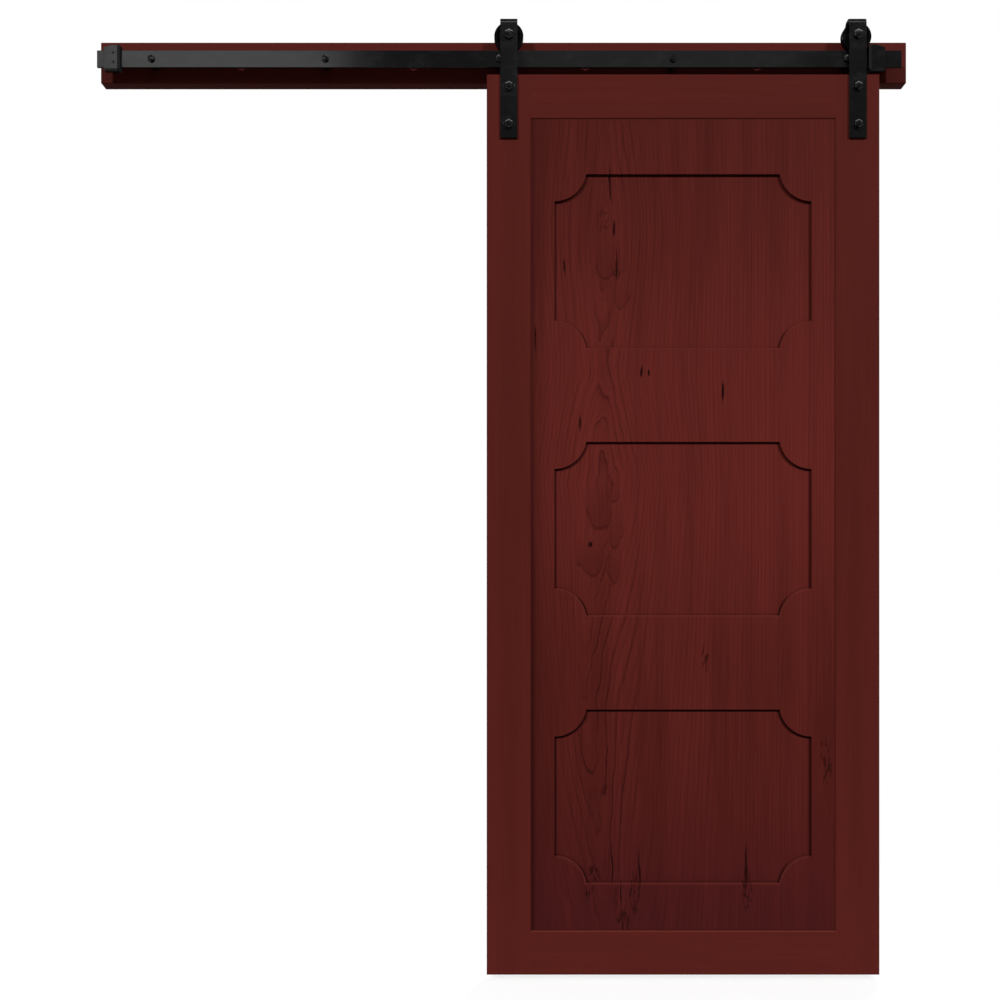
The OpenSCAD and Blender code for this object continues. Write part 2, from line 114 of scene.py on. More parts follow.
# Fasteners
FACETS = 48
HEAD_BEVEL = math.tan(math.radians(30))
BEVEL_FACE = 0.80
DOME_FACE = 0.2
HEAD_DOME = 0.35 * MM
LAG_COUNT = 5
LAG_HEAD = 14.3 * MM
LAG_SHANK = 4.75 * MM
DOOR_BOLT_COUNT = 2
DOOR_BOLT_HEAD = 17 * MM
DOOR_BOLT_SHANK = 5 * MM
AXLE_HEAD = 19 * MM
AXLE_SHANK = 6 * MM
WASHER_EDGE = 0.5 * MM
THREAD_DEPTH = 0.6 * MM
DOOR_BOLT_PITCH = 1.5 * MM
AXLE_PITCH = 1.75 * MM

# Wheels
WHEEL_BORE = 16 * MM
WHEEL_TREAD = 30 * MM
WHEEL_GROOVE = 8 * MM
WHEEL_RIM_GROOVE = 10 * MM
WHEEL_DISH = 3 * MM
WHEEL_DISH_IN = 19 * MM
WHEEL_DISH_OUT = 26 * MM
WHEEL_EASE = 0.8 * MM


def linear(red, green, blue):
    """A colour written as 0 to 255 on the screen, as the light values that shaders take."""
    def light(level):
        share = level / 255
        return share / 12.92 if share <= 0.04045 else ((share + 0.055) / 1.055) ** 2.4
    return (light(red), light(green), light(blue), 1.0)


# Colours and gloss of the finishes
BOARD_LIGHT = linear(88, 32, 27)
BOARD_DARK = linear(75, 27, 22)
STAIN_LIGHT = linear(98, 36, 31)
STAIN_DARK = linear(70, 24, 20)
# Dark of the late wood lines, also used for the painted shade along the panel's and the fields' edges
LINE_AND_SHADE_DARK = linear(46, 13, 12)
STAIN_FOOT = linear(58, 18, 22)
# Painted highlight on edges that face up into the light
HIGHLIGHT_RED = linear(118, 54, 46)
# Dark of the filled cracks, also used for the painted shadow under the fields' upper edges
CRACK_AND_SHADOW_DARK = linear(20, 4, 4)
STEEL_BLACK = linear(9, 9, 10)
STEEL_WORN = linear(20, 20, 21)
BEARING_STEEL = linear(176, 176, 178)
BEARING_DULL = linear(128, 128, 132)
RUBBER_BLACK = linear(9, 9, 9)
RUBBER_GREY = linear(17, 17, 17)
DOWEL_LIGHT = linear(206, 170, 122)
DOWEL_DARK = linear(170, 130, 86)
FLOOR_PALE = linear(178, 178, 178)
FLOOR_SPECK = linear(174, 174, 174)
BLACK = (0, 0, 0, 1)
WHITE = (1, 1, 1, 1)
WOOD_GLOSS = 0.025
STEEL_GLOSS = 0.35
WHEEL_GLOSS = 0.05
RUBBER_GLOSS = 0.15

# In the settings below, noise is (lumps per metre along x, y and z), detail and seed. Bumps are strength
# and depth. Rises, falls, fades and edges are where a smooth step begins and where it ends, and then its
# values there, if these aren't 0 and 1.
NOISE_MIDDLE = 0.5

# Boards. Their noise is lumps per metre along the grain and across it, detail, and what the seed gains.
BOARD_SWAY = (1.3, 5.0, 2.0, 0.0)
BOARD_BROAD = (1.2, 26.0, 3.0, 3.0)
BOARD_FIBRE = (7.0, 260.0, 4.0, 7.0)
BOARD_HEART_ASIDE = 0.31
BOARD_HEART_SHIFT = 0.01
BOARD_HEART_SWAY = 0.05
BOARD_HEART_DEEP = 0.17
BOARD_RING_WIDTH = 0.0046
BOARD_RING_LOOSE = 1.5
BOARD_LINE_RISE = (0.35, 0.95)
BOARD_LINE = 0.16
BOARD_TONE = 0.5
BOARD_TONE_BROAD = 1.1
BOARD_TONE_FIBRE = 0.8
# Painted highlight along a board's up-facing edge: how far under the given level, its reach and strength
BOARD_HIGHLIGHT_UNDER = 1.5 * MM
BOARD_HIGHLIGHT_REACH = 2.2 * MM
BOARD_HIGHLIGHT = 0.33
BOARD_ROUGH = 0.44
BOARD_ROUGH_LATE = 0.05
BOARD_BUMP_FIBRE = 0.7
BOARD_BUMP_LATE = 0.3
BOARD_BUMP = (0.18, 0.4 * MM)
WOOD_ROUGH_FIBRE = 0.14

# The panel's wood figure. A cut board shows its growth rings as lines. Where the heart of the tree came
# nearest the face they close into a long eye, and from there they run down as nested points.
# Sways are (drop below the door's top, reach, how far the heart moves to the right).
PANEL_WANDER = ((3.0, 3.0, 1.2), 2.0, 11.0)
PANEL_SWIRL = ((16.0, 16.0, 6.0), 2.0, 21.0)
PANEL_RAGGED = ((52.0, 52.0, 17.0), 3.0, 5.0)
PANEL_BROAD = ((24.0, 24.0, 1.0), 3.0, 2.0)
PANEL_FIBRE = ((270.0, 270.0, 6.0), 4.0, 9.0)
PANEL_PATCHES = ((20.0, 20.0, 3.5), 2.0, 31.0)
PANEL_CURLS = ((115.0, 115.0, 30.0), 1.0, 41.0)
PATCH_RISE = (0.40, 0.62, 0.15, 1.0)
HEART_ACROSS = 0.260
HEART_DROP = 0.95
HEART_ROUND = 0.018
HEART_WANDER = 0.03
HEART_SWAYS = ((0.33, 0.25, 0.022), (0.97, 0.10, 0.020), (1.38, 0.25, -0.035), (1.95, 0.20, 0.020))
SWAY_REACH = 0.07
DIP_ABOVE = 0.20
DIP_ABOVE_END = 0.25
DIP_BELOW = 0.115
DIP_REACH = 0.22
UPPER_EYE_DROP = 0.36
UPPER_EYE_REACH = 0.22
UPPER_EYE_RISE = 0.03
CLOSE_ASIDE = 0.015
CLOSE_REACH = 0.085
CLOSE_GAP_DROPS = (0.60, 1.06)
CLOSE_GAP_REACH = 0.10
CLOSE_GAP = 0.6
CORE_ASIDE = 0.010
CORE_REACH = 0.045
TWIST_SWIRL = 0.040
TWIST_RAGGED = 0.018
TWIST_CORE = 0.9
TWIST_REST = 0.04
RING_WIDTH = 0.0165
RING_LOOSE = 0.3
RING_LEAN = 0.15
LATE_FALL = (0.96, 1.0)
LINE_RISE = (0.76, 0.95)
LINE_REST = 0.16
LINE_CLOSE = 0.50
CORE_RISE = (0.20, 0.95)
CORE_SHARE = 0.14
FINE_RING_WIDTH = 0.0088
FINE_RING_LOOSE = 2.4
FINE_RISE = (0.45, 0.97)
FINE_SHARE = 0.34

# The panel's tone: paler about its middle, darker in a strip on the left and at the foot
PANEL_TONE = 0.30
PANEL_TONE_BROAD = 1.0
PANEL_TONE_FIBRE = 0.9
PANEL_TONE_WANDER = 0.6
PALE_DROP = 0.85
PALE_REACH = 0.50
PALE_GAIN = 0.60
DARK_ACROSS = 0.105
DARK_REACH = 0.045
DARK_LOSS = 0.42
FOOT_RAGGED = 0.5
FOOT_RISE = (1.55, 2.05)
FOOT_STREAK = 1.12
PANEL_ROUGH = 0.42
PANEL_ROUGH_LINES = 0.08
PANEL_ROUGH_CRACKS = 0.25
PANEL_BUMP_FIBRE = 0.5
PANEL_BUMP_LINES = 0.5
PANEL_BUMP = (0.2, 0.4 * MM)

# Painted light round the panel and its fields: painted shade within the fields' edges and along the panel's,
# a painted shadow under their upper edges and a painted highlight on their lower ones. Pairs that run down
# the door are for the upper and the lower end.
EDGE_SHADE_IN = 2.2 * MM
EDGE_SHADE_REACH = 2.4 * MM
EDGE_SHADE_DOWN = (0.54, 0.92)
LOWER_EDGE_RISE = (-0.10, -0.12)
LOWER_EDGE_SIDE_RISE = (-2 * MM, -8 * MM)
LOWER_EDGE_LOSS = 0.5
SCOOP_END_IN = 68 * MM
SCOOP_END_REACH = 12 * MM
SHADOW_DEPTH_DOWN = (2.4 * MM, 5.8 * MM)
SHADOW_DOWN = (0.45, 0.90)
SHADOW_TOP_EDGE = (-1 * MM, 1 * MM)
SHADOW_FIELD_EDGE = (0.8 * MM, -0.8 * MM)
HIGHLIGHT_OUT = 1.2 * MM
HIGHLIGHT_REACH = 1.8 * MM
HIGHLIGHT_DOWN = (0.08, 0.28)
PANEL_EDGE_REACH = 6 * MM
PANEL_EDGE_SHARE = 0.45
PANEL_HEAD_SHIFT = 6 * MM
# Painted shade in a band along the panel's left edge, stronger lower down
LEFT_BAND_IN = 3 * MM
LEFT_BAND_REACH = 7 * MM
LEFT_BAND_DOWN = (0.42, 1.0)
FRONT_RISE = (panel_front + 2 * FIELD_DEEP, panel_front + 1.5 * FIELD_DEEP)

# Marks in the panel: (from the door's left edge, drop below its top, half width, half length).
# Cracks are filled with dark stain, knots hold curled dark lines, flames are darker islands of late wood.
CRACK_EDGE = (1.15, 0.45)
CRACK_RAGGED = 0.012
CRACK_FIBRE_RISE = (0.34, 0.54, 0.25, 1.0)
CRACKS = (
    (0.180, 0.445, 0.0038, 0.020),
    (0.550, 0.738, 0.0042, 0.028),
    (0.361, 0.690, 0.0034, 0.016),
    (0.378, 0.694, 0.0026, 0.009),
    (0.219, 0.812, 0.0036, 0.020),
    (0.113, 0.620, 0.0026, 0.040),
    (0.288, 0.250, 0.0024, 0.050),
    (0.297, 0.357, 0.0034, 0.022),
    (0.304, 0.440, 0.0018, 0.050),
    (0.241, 1.094, 0.0064, 0.008),
    (0.292, 1.840, 0.0020, 0.060),
    (0.606, 1.842, 0.0040, 0.060),
    (0.313, 1.908, 0.0022, 0.036),
    (0.356, 1.850, 0.0026, 0.050),
)
KNOT_EDGE = (1.1, 0.7)
KNOT_CURL_EDGE = (0.09, 0.02)
KNOT_DROP_RISE = (0.5, 1.5, 0.35, 0.65)
KNOTS = (
    (0.273, 0.345, 0.014, 0.040),
    (0.304, 0.462, 0.010, 0.016),
    (0.508, 1.355, 0.010, 0.040),
    (0.786, 1.570, 0.011, 0.030),
    (0.792, 1.620, 0.012, 0.036),
    (0.250, 1.862, 0.016, 0.020),
    (0.238, 1.902, 0.011, 0.024),
    (0.345, 1.910, 0.012, 0.055),
    (0.317, 1.970, 0.017, 0.028),
    (0.606, 1.900, 0.012, 0.050),
)
FLAME_RAGGED = 0.030
FLAME_SWIRL = 0.050
FLAME_EDGE = (1.04, 0.94)
FLAME_FADE = (0.9, -0.6)
FLAME_FILL = 0.26
FLAME_RIM_AT = 0.98
FLAME_RIM_REACH = 0.07
FLAME_RIM_FADE = (0.0, -0.6)
FLAME_RIM = 0.60
FLAMES = (
    (0.279, 0.400, 0.026, 0.075),
    (0.303, 0.430, 0.017, 0.036),
    (0.312, 0.495, 0.022, 0.050),
    (0.262, 0.978, 0.030, 0.080),
    (0.297, 0.945, 0.018, 0.050),
    (0.246, 1.108, 0.034, 0.060),
    (0.300, 1.028, 0.020, 0.075),
    (0.303, 1.126, 0.020, 0.060),
)

# Black coat, bearing steel, rubber and dowel wood
COAT_PEEL = ((520.0, 520.0, 520.0), 2.0, 1.0)
COAT_RUB = ((28.0, 60.0, 60.0), 5.0, 4.0)
COAT_RUB_RISE = (0.50, 0.74)
COAT_ROUGH = 0.08
COAT_ROUGH_RUB = 0.08
COAT_ROUGH_PEEL = 0.04
COAT_BUMP = (0.06, 0.2 * MM)
BEARING_MARKS = ((900.0, 2400.0, 900.0), 3.0, 2.0)
BEARING_CLOUD = ((70.0, 70.0, 70.0), 3.0, 6.0)
BEARING_CLOUD_RISE = (0.35, 0.70)
BEARING_ROUGH = 0.14
BEARING_ROUGH_MARKS = 0.18
BEARING_ROUGH_CLOUD = 0.12
BEARING_BUMP = (0.12, 0.1 * MM)
RUBBER_GRIT = ((700.0, 700.0, 700.0), 3.0, 3.0)
RUBBER_BLOOM = ((60.0, 60.0, 60.0), 4.0, 8.0)
RUBBER_BLOOM_RISE = (0.42, 0.72)
RUBBER_ROUGH = 0.66
RUBBER_ROUGH_BLOOM = 0.15
RUBBER_BUMP = (0.3, 0.2 * MM)
DOWEL_FIBRE = ((12.0, 500.0, 500.0), 4.0, 2.0)
DOWEL_FIBRE_RISE = (0.35, 0.65)
DOWEL_ROUGH = 0.5
DOWEL_ROUGH_FIBRE = 0.2
DOWEL_BUMP = (0.2, 0.2 * MM)


class Shade:
    """A shader socket that takes part in Python sums: each one adds its Math node."""

    def __init__(self, tree, socket=None):
        self.tree = tree
        self.socket = socket

    def node(self, kind, settings=None, sockets=None, output=0):
        """Any node: its settings are set first, then the values and links of its sockets."""
        made = self.tree.nodes.new(kind)
        for name, value in (settings or {}).items():
            setattr(made, name, value)
        for key, value in (sockets or {}).items():
            if isinstance(value, Shade):
                self.tree.links.new(value.socket, made.inputs[key])
            else:
                made.inputs[key].default_value = value
        return Shade(self.tree, made.outputs[output])

    def feed(self, socket):
        self.tree.links.new(self.socket, socket)

    def outlet(self, name):
        """Another socket of the same node."""
        return Shade(self.tree, self.socket.node.outputs[name])

    def parts(self):
        split = self.node("ShaderNodeSeparateXYZ", {}, {0: self})
        return [split.outlet(letter) for letter in "XYZ"]

    def math(self, operation, *terms):
        return self.node("ShaderNodeMath", {"operation": operation}, dict(enumerate(terms)))

    def __add__(self, other):
        return self.math("ADD", self, other)

    def __sub__(self, other):
        return self.math("SUBTRACT", self, other)

    def __rsub__(self, other):
        return self.math("SUBTRACT", other, self)

    def __mul__(self, other):
        return self.math("MULTIPLY", self, other)

    def __truediv__(self, other):
        return self.math("DIVIDE", self, other)

    def __rtruediv__(self, other):
        return self.math("DIVIDE", other, self)

    __radd__ = __add__
    __rmul__ = __mul__

    def root(self):
        return self.math("SQRT", self)

    def fraction(self):
        return self.math("FRACT", self)

    def larger(self, other):
        return self.math("MAXIMUM", self, other)

    def smaller(self, other):
        return self.math("MINIMUM", self, other)

    def size(self):
        return self.math("ABSOLUTE", self)

    def bell(self, middle, reach):
        """1 at the middle, falling smoothly to nothing about two reaches away."""
        away = (self - middle) / reach
        return self.math("POWER", math.e, away * away * -1)

    def step(self, low, high, start=0.0, end=1.0):
        """A smooth rise from start to end, between the values low and high."""
        sockets = {"Value": self, "From Min": low, "From Max": high, "To Min": start, "To Max": end}
        return self.node("ShaderNodeMapRange", {"interpolation_type": "SMOOTHSTEP"}, sockets)

    def noise(self, scale, detail, seed):
        """Cloudy noise, 0 to 1 about 0.5, with scale (x, y, z) in lumps per metre."""
        place = {"Vector": self, "Location": (seed, seed, seed), "Scale": scale}
        spot = self.node("ShaderNodeMapping", {}, place)
        return self.node("ShaderNodeTexNoise", {}, {"Vector": spot, "Scale": 1.0, "Detail": detail})

    def swing(self, reach):
        """Noise as a swing to both sides of nothing."""
        return (self - NOISE_MIDDLE) * reach

    def blend(self, first, second):
        """The colour first where this is 0, and second where it is 1."""
        sockets = {0: self, 6: first, 7: second}
        return self.node("ShaderNodeMix", {"data_type": "RGBA"}, sockets, output=2)

    def bump(self, strength, depth):
        sockets = {"Height": self, "Strength": strength, "Distance": depth}
        return self.node("ShaderNodeBump", {}, sockets)


def new_finish(name):
    """A material with its main shader, and the piece's own coordinates."""
    finish = bpy.data.materials.new(name)
    finish.use_nodes = True
    tree = finish.node_tree
    place = Shade(tree).node("ShaderNodeTexCoord", output="Object")
    return finish, tree.nodes["Principled BSDF"].inputs, place


def dress(surface, colour, roughness, relief, gloss=None):
    """Gives a main shader its colour, roughness and relief, and its gloss where that isn't the usual one."""
    colour.feed(surface["Base Color"])
    roughness.feed(surface["Roughness"])
    relief.feed(surface["Normal"])
    if gloss is not None:
        surface["Specular IOR Level"].default_value = gloss


def board_noise(place, axis, seed, lengthwise, crosswise, detail, gain):
    """Noise that is drawn out along the grain of a board, which runs along one axis."""
    scale = tuple(lengthwise if letter == axis else crosswise for letter in "XYZ")
    return place.noise(scale, detail, seed + gain)


def stained_board(name, axis, seed, highlight_level=None):
    """A frame board: straight quiet grain along its length under a deep red stain, with a painted highlight
    that may be added along its edge at a level where it faces up into the light."""
    finish, surface, place = new_finish(name)
    x, y, z = place.parts()
    across = x if axis == "Z" else z
    sway = board_noise(place, axis, seed, *BOARD_SWAY)
    broad = board_noise(place, axis, seed, *BOARD_BROAD)
    fibre = board_noise(place, axis, seed, *BOARD_FIBRE)
    off_heart = across + (BOARD_HEART_ASIDE + BOARD_HEART_SHIFT * seed) + sway * BOARD_HEART_SWAY
    depth = y + BOARD_HEART_DEEP
    rings = (off_heart * off_heart + depth * depth).root() / BOARD_RING_WIDTH
    late = (rings + broad * BOARD_RING_LOOSE).fraction().step(*BOARD_LINE_RISE)
    tone = broad.swing(BOARD_TONE_BROAD) + fibre.swing(BOARD_TONE_FIBRE) + BOARD_TONE
    colour = (late * broad * BOARD_LINE).blend(tone.blend(BOARD_DARK, BOARD_LIGHT), LINE_AND_SHADE_DARK)
    # Painted highlight along the edge at this level
    if highlight_level is not None:
        painted_highlight = z.bell(highlight_level - BOARD_HIGHLIGHT_UNDER, BOARD_HIGHLIGHT_REACH) * BOARD_HIGHLIGHT
        colour = painted_highlight.blend(colour, HIGHLIGHT_RED)
    dress(
        surface, colour,
        fibre * WOOD_ROUGH_FIBRE + late * BOARD_ROUGH_LATE + BOARD_ROUGH,
        (fibre * BOARD_BUMP_FIBRE + late * BOARD_BUMP_LATE).bump(*BOARD_BUMP),
        WOOD_GLOSS)
    return finish


def field_distance(x, z):
    """How far a spot lies outside the nearest carved field, less than nothing inside it, with its distance
    beyond the field's sides and its place in the field's height, about 0 in the middle."""
    aside = (x - (field_left + field_right) / 2).size() - (field_right - field_left) / 2
    turn = ((z - (field_foot + FIELD_HEIGHT / 2)) / field_pitch + 0.5).fraction() - 0.5
    along = turn.size() * field_pitch - FIELD_HEIGHT / 2
    beyond = along - FIELD_SCOOP_OUT
    scoop = FIELD_SCOOP - (aside * aside + beyond * beyond).root()
    return aside.larger(along).larger(scoop), aside, turn


def carved_edges(x, y, z):
    """Painted shade round the panel and its fields, a painted shadow in the corners under the fields' upper
    edges, and a painted highlight on the lower edges of the fields."""
    outside, aside, turn = field_distance(x, z)
    above = field_distance(x, z + z.step(field_head, field_foot, *SHADOW_DEPTH_DOWN))[0]
    panel_edge = (panel_left - x).larger((x - panel_right) * 2)
    panel_edge = panel_edge.larger((z - panel_head) * 2 - PANEL_HEAD_SHIFT).larger((panel_foot - z) * 2)
    front = y.step(*FRONT_RISE)
    lower = turn.step(*LOWER_EDGE_RISE) * aside.step(*LOWER_EDGE_SIDE_RISE)
    # Painted shade within the fields' edges and along the panel's edges
    painted_shade = outside.bell(-EDGE_SHADE_IN, EDGE_SHADE_REACH) * z.step(field_head, field_foot, *EDGE_SHADE_DOWN)
    scoop_ends = aside.bell(-SCOOP_END_IN, SCOOP_END_REACH)
    painted_shade = painted_shade * (1 - lower * (LOWER_EDGE_LOSS - scoop_ends)) * front
    painted_shade = painted_shade.larger(panel_edge.bell(0.0, PANEL_EDGE_REACH) * PANEL_EDGE_SHARE)
    left_band = (x - panel_left).bell(LEFT_BAND_IN, LEFT_BAND_REACH)
    left_band = left_band * z.step(panel_head, panel_foot, *LEFT_BAND_DOWN)
    painted_shade = painted_shade.larger(left_band * front)
    # Painted shadow cast by the fields' upper edges onto their floors, longer lower down the door
    painted_shadow = above.step(*SHADOW_TOP_EDGE) * outside.step(*SHADOW_FIELD_EDGE)
    painted_shadow = painted_shadow * z.step(field_head, field_foot, *SHADOW_DOWN) * front
    # Painted highlight along the fields' lower edges, which face up
    painted_highlight = outside.bell(HIGHLIGHT_OUT, HIGHLIGHT_REACH) * lower
    painted_highlight = painted_highlight * z.step(field_head, field_foot, *HIGHLIGHT_DOWN) * front
    return painted_shade, painted_shadow, painted_highlight


def panel_mark(across, drop, mark):
    """How far off a mark's middle a spot lies, 1 at its edge, and how high in it, -1 at its foot."""
    from_left, below, half_width, half_length = mark
    aside = (across - from_left) / half_width
    level = (below - drop) / half_length
    return (aside * aside + level * level).root(), level


def flame_mark(across, drop, mark):
    """A flame: a dark fill that fades towards its top, with a darker rim along its foot."""
    away, level = panel_mark(across, drop, mark)
    fill = away.step(*FLAME_EDGE) * level.step(*FLAME_FADE) * FLAME_FILL
    rim = away.bell(FLAME_RIM_AT, FLAME_RIM_REACH) * level.step(*FLAME_RIM_FADE) * FLAME_RIM
    return fill.larger(rim)


def strongest(marks):
    """All marks together, the strongest at each spot. Marks come one by one, because a shader can hold only
    so many open values at once."""
    whole = next(marks)
    for mark in marks:
        whole = whole.larger(mark)
    return whole


def ring_lines(across, y, drop, wander, swirl, ragged, broad, patchy):
    """Lines of late wood round the tree's heart, darkest close to it, and the fine rings beside them."""
    aside = across - HEART_ACROSS
    shift = wander.swing(HEART_WANDER)
    for middle, reach, sway in HEART_SWAYS:
        shift = shift + drop.bell(middle, reach) * sway
    dip = (drop - HEART_DROP).larger(0.0) * DIP_BELOW
    dip = dip + (HEART_DROP - drop).larger(0.0).smaller(DIP_ABOVE_END) * DIP_ABOVE
    dip = dip - drop.bell(UPPER_EYE_DROP, UPPER_EYE_REACH) * UPPER_EYE_RISE
    dip = dip * aside.bell(0.0, DIP_REACH)
    aside = aside - shift * aside.bell(0.0, SWAY_REACH)
    close = aside.bell(CLOSE_ASIDE, CLOSE_REACH)
    unbroken = 1
    for middle in CLOSE_GAP_DROPS:
        unbroken = unbroken - drop.bell(middle, CLOSE_GAP_REACH) * CLOSE_GAP
    close = close * unbroken
    core = aside.bell(CORE_ASIDE, CORE_REACH)
    twist = swirl.swing(TWIST_SWIRL) + ragged.swing(TWIST_RAGGED)
    rings = (aside * aside + HEART_ROUND * HEART_ROUND).root() + dip
    rings = rings + twist * (core * TWIST_CORE + TWIST_REST)
    rings = rings - (y - panel_front) * RING_LEAN
    late = (rings / RING_WIDTH + broad * RING_LOOSE).fraction()
    fall = 1 - late.step(*LATE_FALL)
    line = late.step(*LINE_RISE) * fall
    flame = late.step(*CORE_RISE) * fall * core
    fine = (rings / FINE_RING_WIDTH + broad * FINE_RING_LOOSE).fraction().step(*FINE_RISE)
    lines = patchy * (line * (LINE_REST + close * LINE_CLOSE) + flame * CORE_SHARE)
    return lines + fine * broad * FINE_SHARE


def carved_panel(name):
    """The wide panel: flames of the tree's heart, straight lines beside them, cracks and knots."""
    finish, surface, place = new_finish(name)
    x, y, z = place.parts()
    across = x - door_low.x
    drop = door_high.z - z
    wander = place.noise(*PANEL_WANDER)
    swirl = place.noise(*PANEL_SWIRL)
    ragged = place.noise(*PANEL_RAGGED)
    broad = place.noise(*PANEL_BROAD)
    fibre = place.noise(*PANEL_FIBRE)
    patchy = place.noise(*PANEL_PATCHES).step(*PATCH_RISE)
    lines = ring_lines(across, y, drop, wander, swirl, ragged, broad, patchy)

    pushed = across + ragged.swing(FLAME_RAGGED) + swirl.swing(FLAME_SWIRL)
    lines = lines.larger(strongest(flame_mark(pushed, drop, mark) for mark in FLAMES))
    pushed = across + ragged.swing(CRACK_RAGGED)
    curls = (place.noise(*PANEL_CURLS) - NOISE_MIDDLE).size().step(*KNOT_CURL_EDGE)
    knots = strongest(panel_mark(pushed, drop, mark)[0].step(*KNOT_EDGE) for mark in KNOTS) * curls
    cracks = strongest(panel_mark(pushed, drop, mark)[0].step(*CRACK_EDGE) for mark in CRACKS)
    cracks = (cracks * fibre.step(*CRACK_FIBRE_RISE)).larger(knots * drop.step(*KNOT_DROP_RISE))
    # Painted light round the fields: painted shade, painted shadow and painted highlight
    painted_shade, painted_shadow, painted_highlight = carved_edges(x, y, z)

    tone = drop.bell(PALE_DROP, PALE_REACH) * PALE_GAIN + PANEL_TONE
    tone = tone - across.bell(DARK_ACROSS, DARK_REACH) * DARK_LOSS
    tone = tone + broad.swing(PANEL_TONE_BROAD) + fibre.swing(PANEL_TONE_FIBRE)
    tone = tone + wander.swing(PANEL_TONE_WANDER)
    foot = (drop + broad.swing(FOOT_RAGGED)).step(*FOOT_RISE)
    colour = tone.blend(STAIN_DARK, STAIN_LIGHT)
    colour = (foot * (FOOT_STREAK - broad)).blend(colour, STAIN_FOOT)
    # Painted shade along the edges, as dark as the late wood lines
    colour = lines.larger(painted_shade).blend(colour, LINE_AND_SHADE_DARK)
    colour = painted_highlight.blend(colour, HIGHLIGHT_RED)
    # Painted shadow under the fields' upper edges, as dark as the filled cracks
    colour = cracks.larger(painted_shadow).blend(colour, CRACK_AND_SHADOW_DARK)
    dress(
        surface, colour,
        fibre * WOOD_ROUGH_FIBRE + lines * PANEL_ROUGH_LINES + cracks * PANEL_ROUGH_CRACKS + PANEL_ROUGH,
        (fibre * PANEL_BUMP_FIBRE + lines * PANEL_BUMP_LINES - cracks).bump(*PANEL_BUMP),
        WOOD_GLOSS)
    return finish


def black_coat(name, gloss):
    """Baked black coat on steel: a fine orange-peel skin, a little rubbed."""
    finish, surface, place = new_finish(name)
    peel = place.noise(*COAT_PEEL)
    rub = place.noise(*COAT_RUB)
    dress(
        surface,
        rub.step(*COAT_RUB_RISE).blend(STEEL_BLACK, STEEL_WORN),
        rub * COAT_ROUGH_RUB + peel * COAT_ROUGH_PEEL + COAT_ROUGH,
        peel.bump(*COAT_BUMP),
        gloss)
    return finish


def turned_steel(name):
    """Bright bearing steel with fine turning marks."""
    finish, surface, place = new_finish(name)
    marks = place.noise(*BEARING_MARKS)
    cloud = place.noise(*BEARING_CLOUD)
    dress(
        surface,
        cloud.step(*BEARING_CLOUD_RISE).blend(BEARING_STEEL, BEARING_DULL),
        marks * BEARING_ROUGH_MARKS + cloud * BEARING_ROUGH_CLOUD + BEARING_ROUGH,
        marks.bump(*BEARING_BUMP))
    surface["Metallic"].default_value = 1.0
    return finish


def moulded_rubber(name):
    """Dull black rubber with a dusty bloom."""
    finish, surface, place = new_finish(name)
    grit = place.noise(*RUBBER_GRIT)
    bloom = place.noise(*RUBBER_BLOOM)
    dress(
        surface,
        bloom.step(*RUBBER_BLOOM_RISE).blend(RUBBER_BLACK, RUBBER_GREY),
        bloom * RUBBER_ROUGH_BLOOM + RUBBER_ROUGH,
        grit.bump(*RUBBER_BUMP),
        RUBBER_GLOSS)
    return finish


def bare_dowel(name):
    """Unstained dowel wood."""
    finish, surface, place = new_finish(name)
    fibre = place.noise(*DOWEL_FIBRE)
    dress(
        surface,
        fibre.step(*DOWEL_FIBRE_RISE).blend(DOWEL_DARK, DOWEL_LIGHT),
        fibre * DOWEL_ROUGH_FIBRE + DOWEL_ROUGH,
        fibre.bump(*DOWEL_BUMP))
    return finish


def welded_copy(node):
    """A CAD node's shape with its loose triangles welded and its flat faces joined."""
    shape = bmesh.new()
    shape.from_mesh(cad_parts[node].data)
    bmesh.ops.remove_doubles(shape, verts=shape.verts, dist=WELD)
    bmesh.ops.dissolve_limit(shape, angle_limit=FLAT_ANGLE, verts=shape.verts, edges=shape.edges)
    return shape


def soften(shape, ease):
    """Rounds the sharp edges a little, as sanding or a thick coat does."""
    sharp = [e for e in shape.edges if e.is_manifold and e.calc_face_angle() > SHARP_ANGLE]
    bmesh.ops.bevel(shape, geom=sharp, offset=ease, offset_type="OFFSET", segments=ROUNDING_STEPS,
                    profile=ROUND_PROFILE, affect="EDGES", clamp_overlap=True)
    return shape


def turned(rings, loop=False):
    """A shape turned about Y. Each ring is (radius, y), the radius a number or a function of the angle."""
    shape = bmesh.new()
    rows = []
    for radius, along in rings:
        row = []
        for step in range(FACETS):
            angle = 2 * math.pi * step / FACETS
            around = radius(angle) if callable(radius) else radius
            row.append(shape.verts.new((around * math.cos(angle), along, around * math.sin(angle))))
        rows.append(row)
    joins = list(zip(rows, rows[1:]))
    if loop:
        joins.append((rows[-1], rows[0]))
    else:
        shape.faces.new(rows[0])
        shape.faces.new(rows[-1])
    for one, other in joins:
        for step in range(FACETS):
            after = (step + 1) % FACETS
            shape.faces.new((one[step], one[after], other[after], other[step]))
    bmesh.ops.recalc_face_normals(shape, faces=shape.faces)
    return shape


def flat_ring(bore, radius, near_face, far_face):
    """A washer or spacer about Y, its edges a little rounded."""
    rings = [(bore, near_face), (radius, near_face), (radius, far_face), (bore, far_face)]
    return soften(turned(rings, loop=True), WASHER_EDGE)


def hex_edge(flats):
    """Distance from the axis to a hexagon's edge at an angle, one corner pointing up."""
    def edge(angle):
        turn = (angle - math.pi / 2) % (math.pi / 3) - math.pi / 6
        return flats / 2 / math.cos(turn)
    return edge


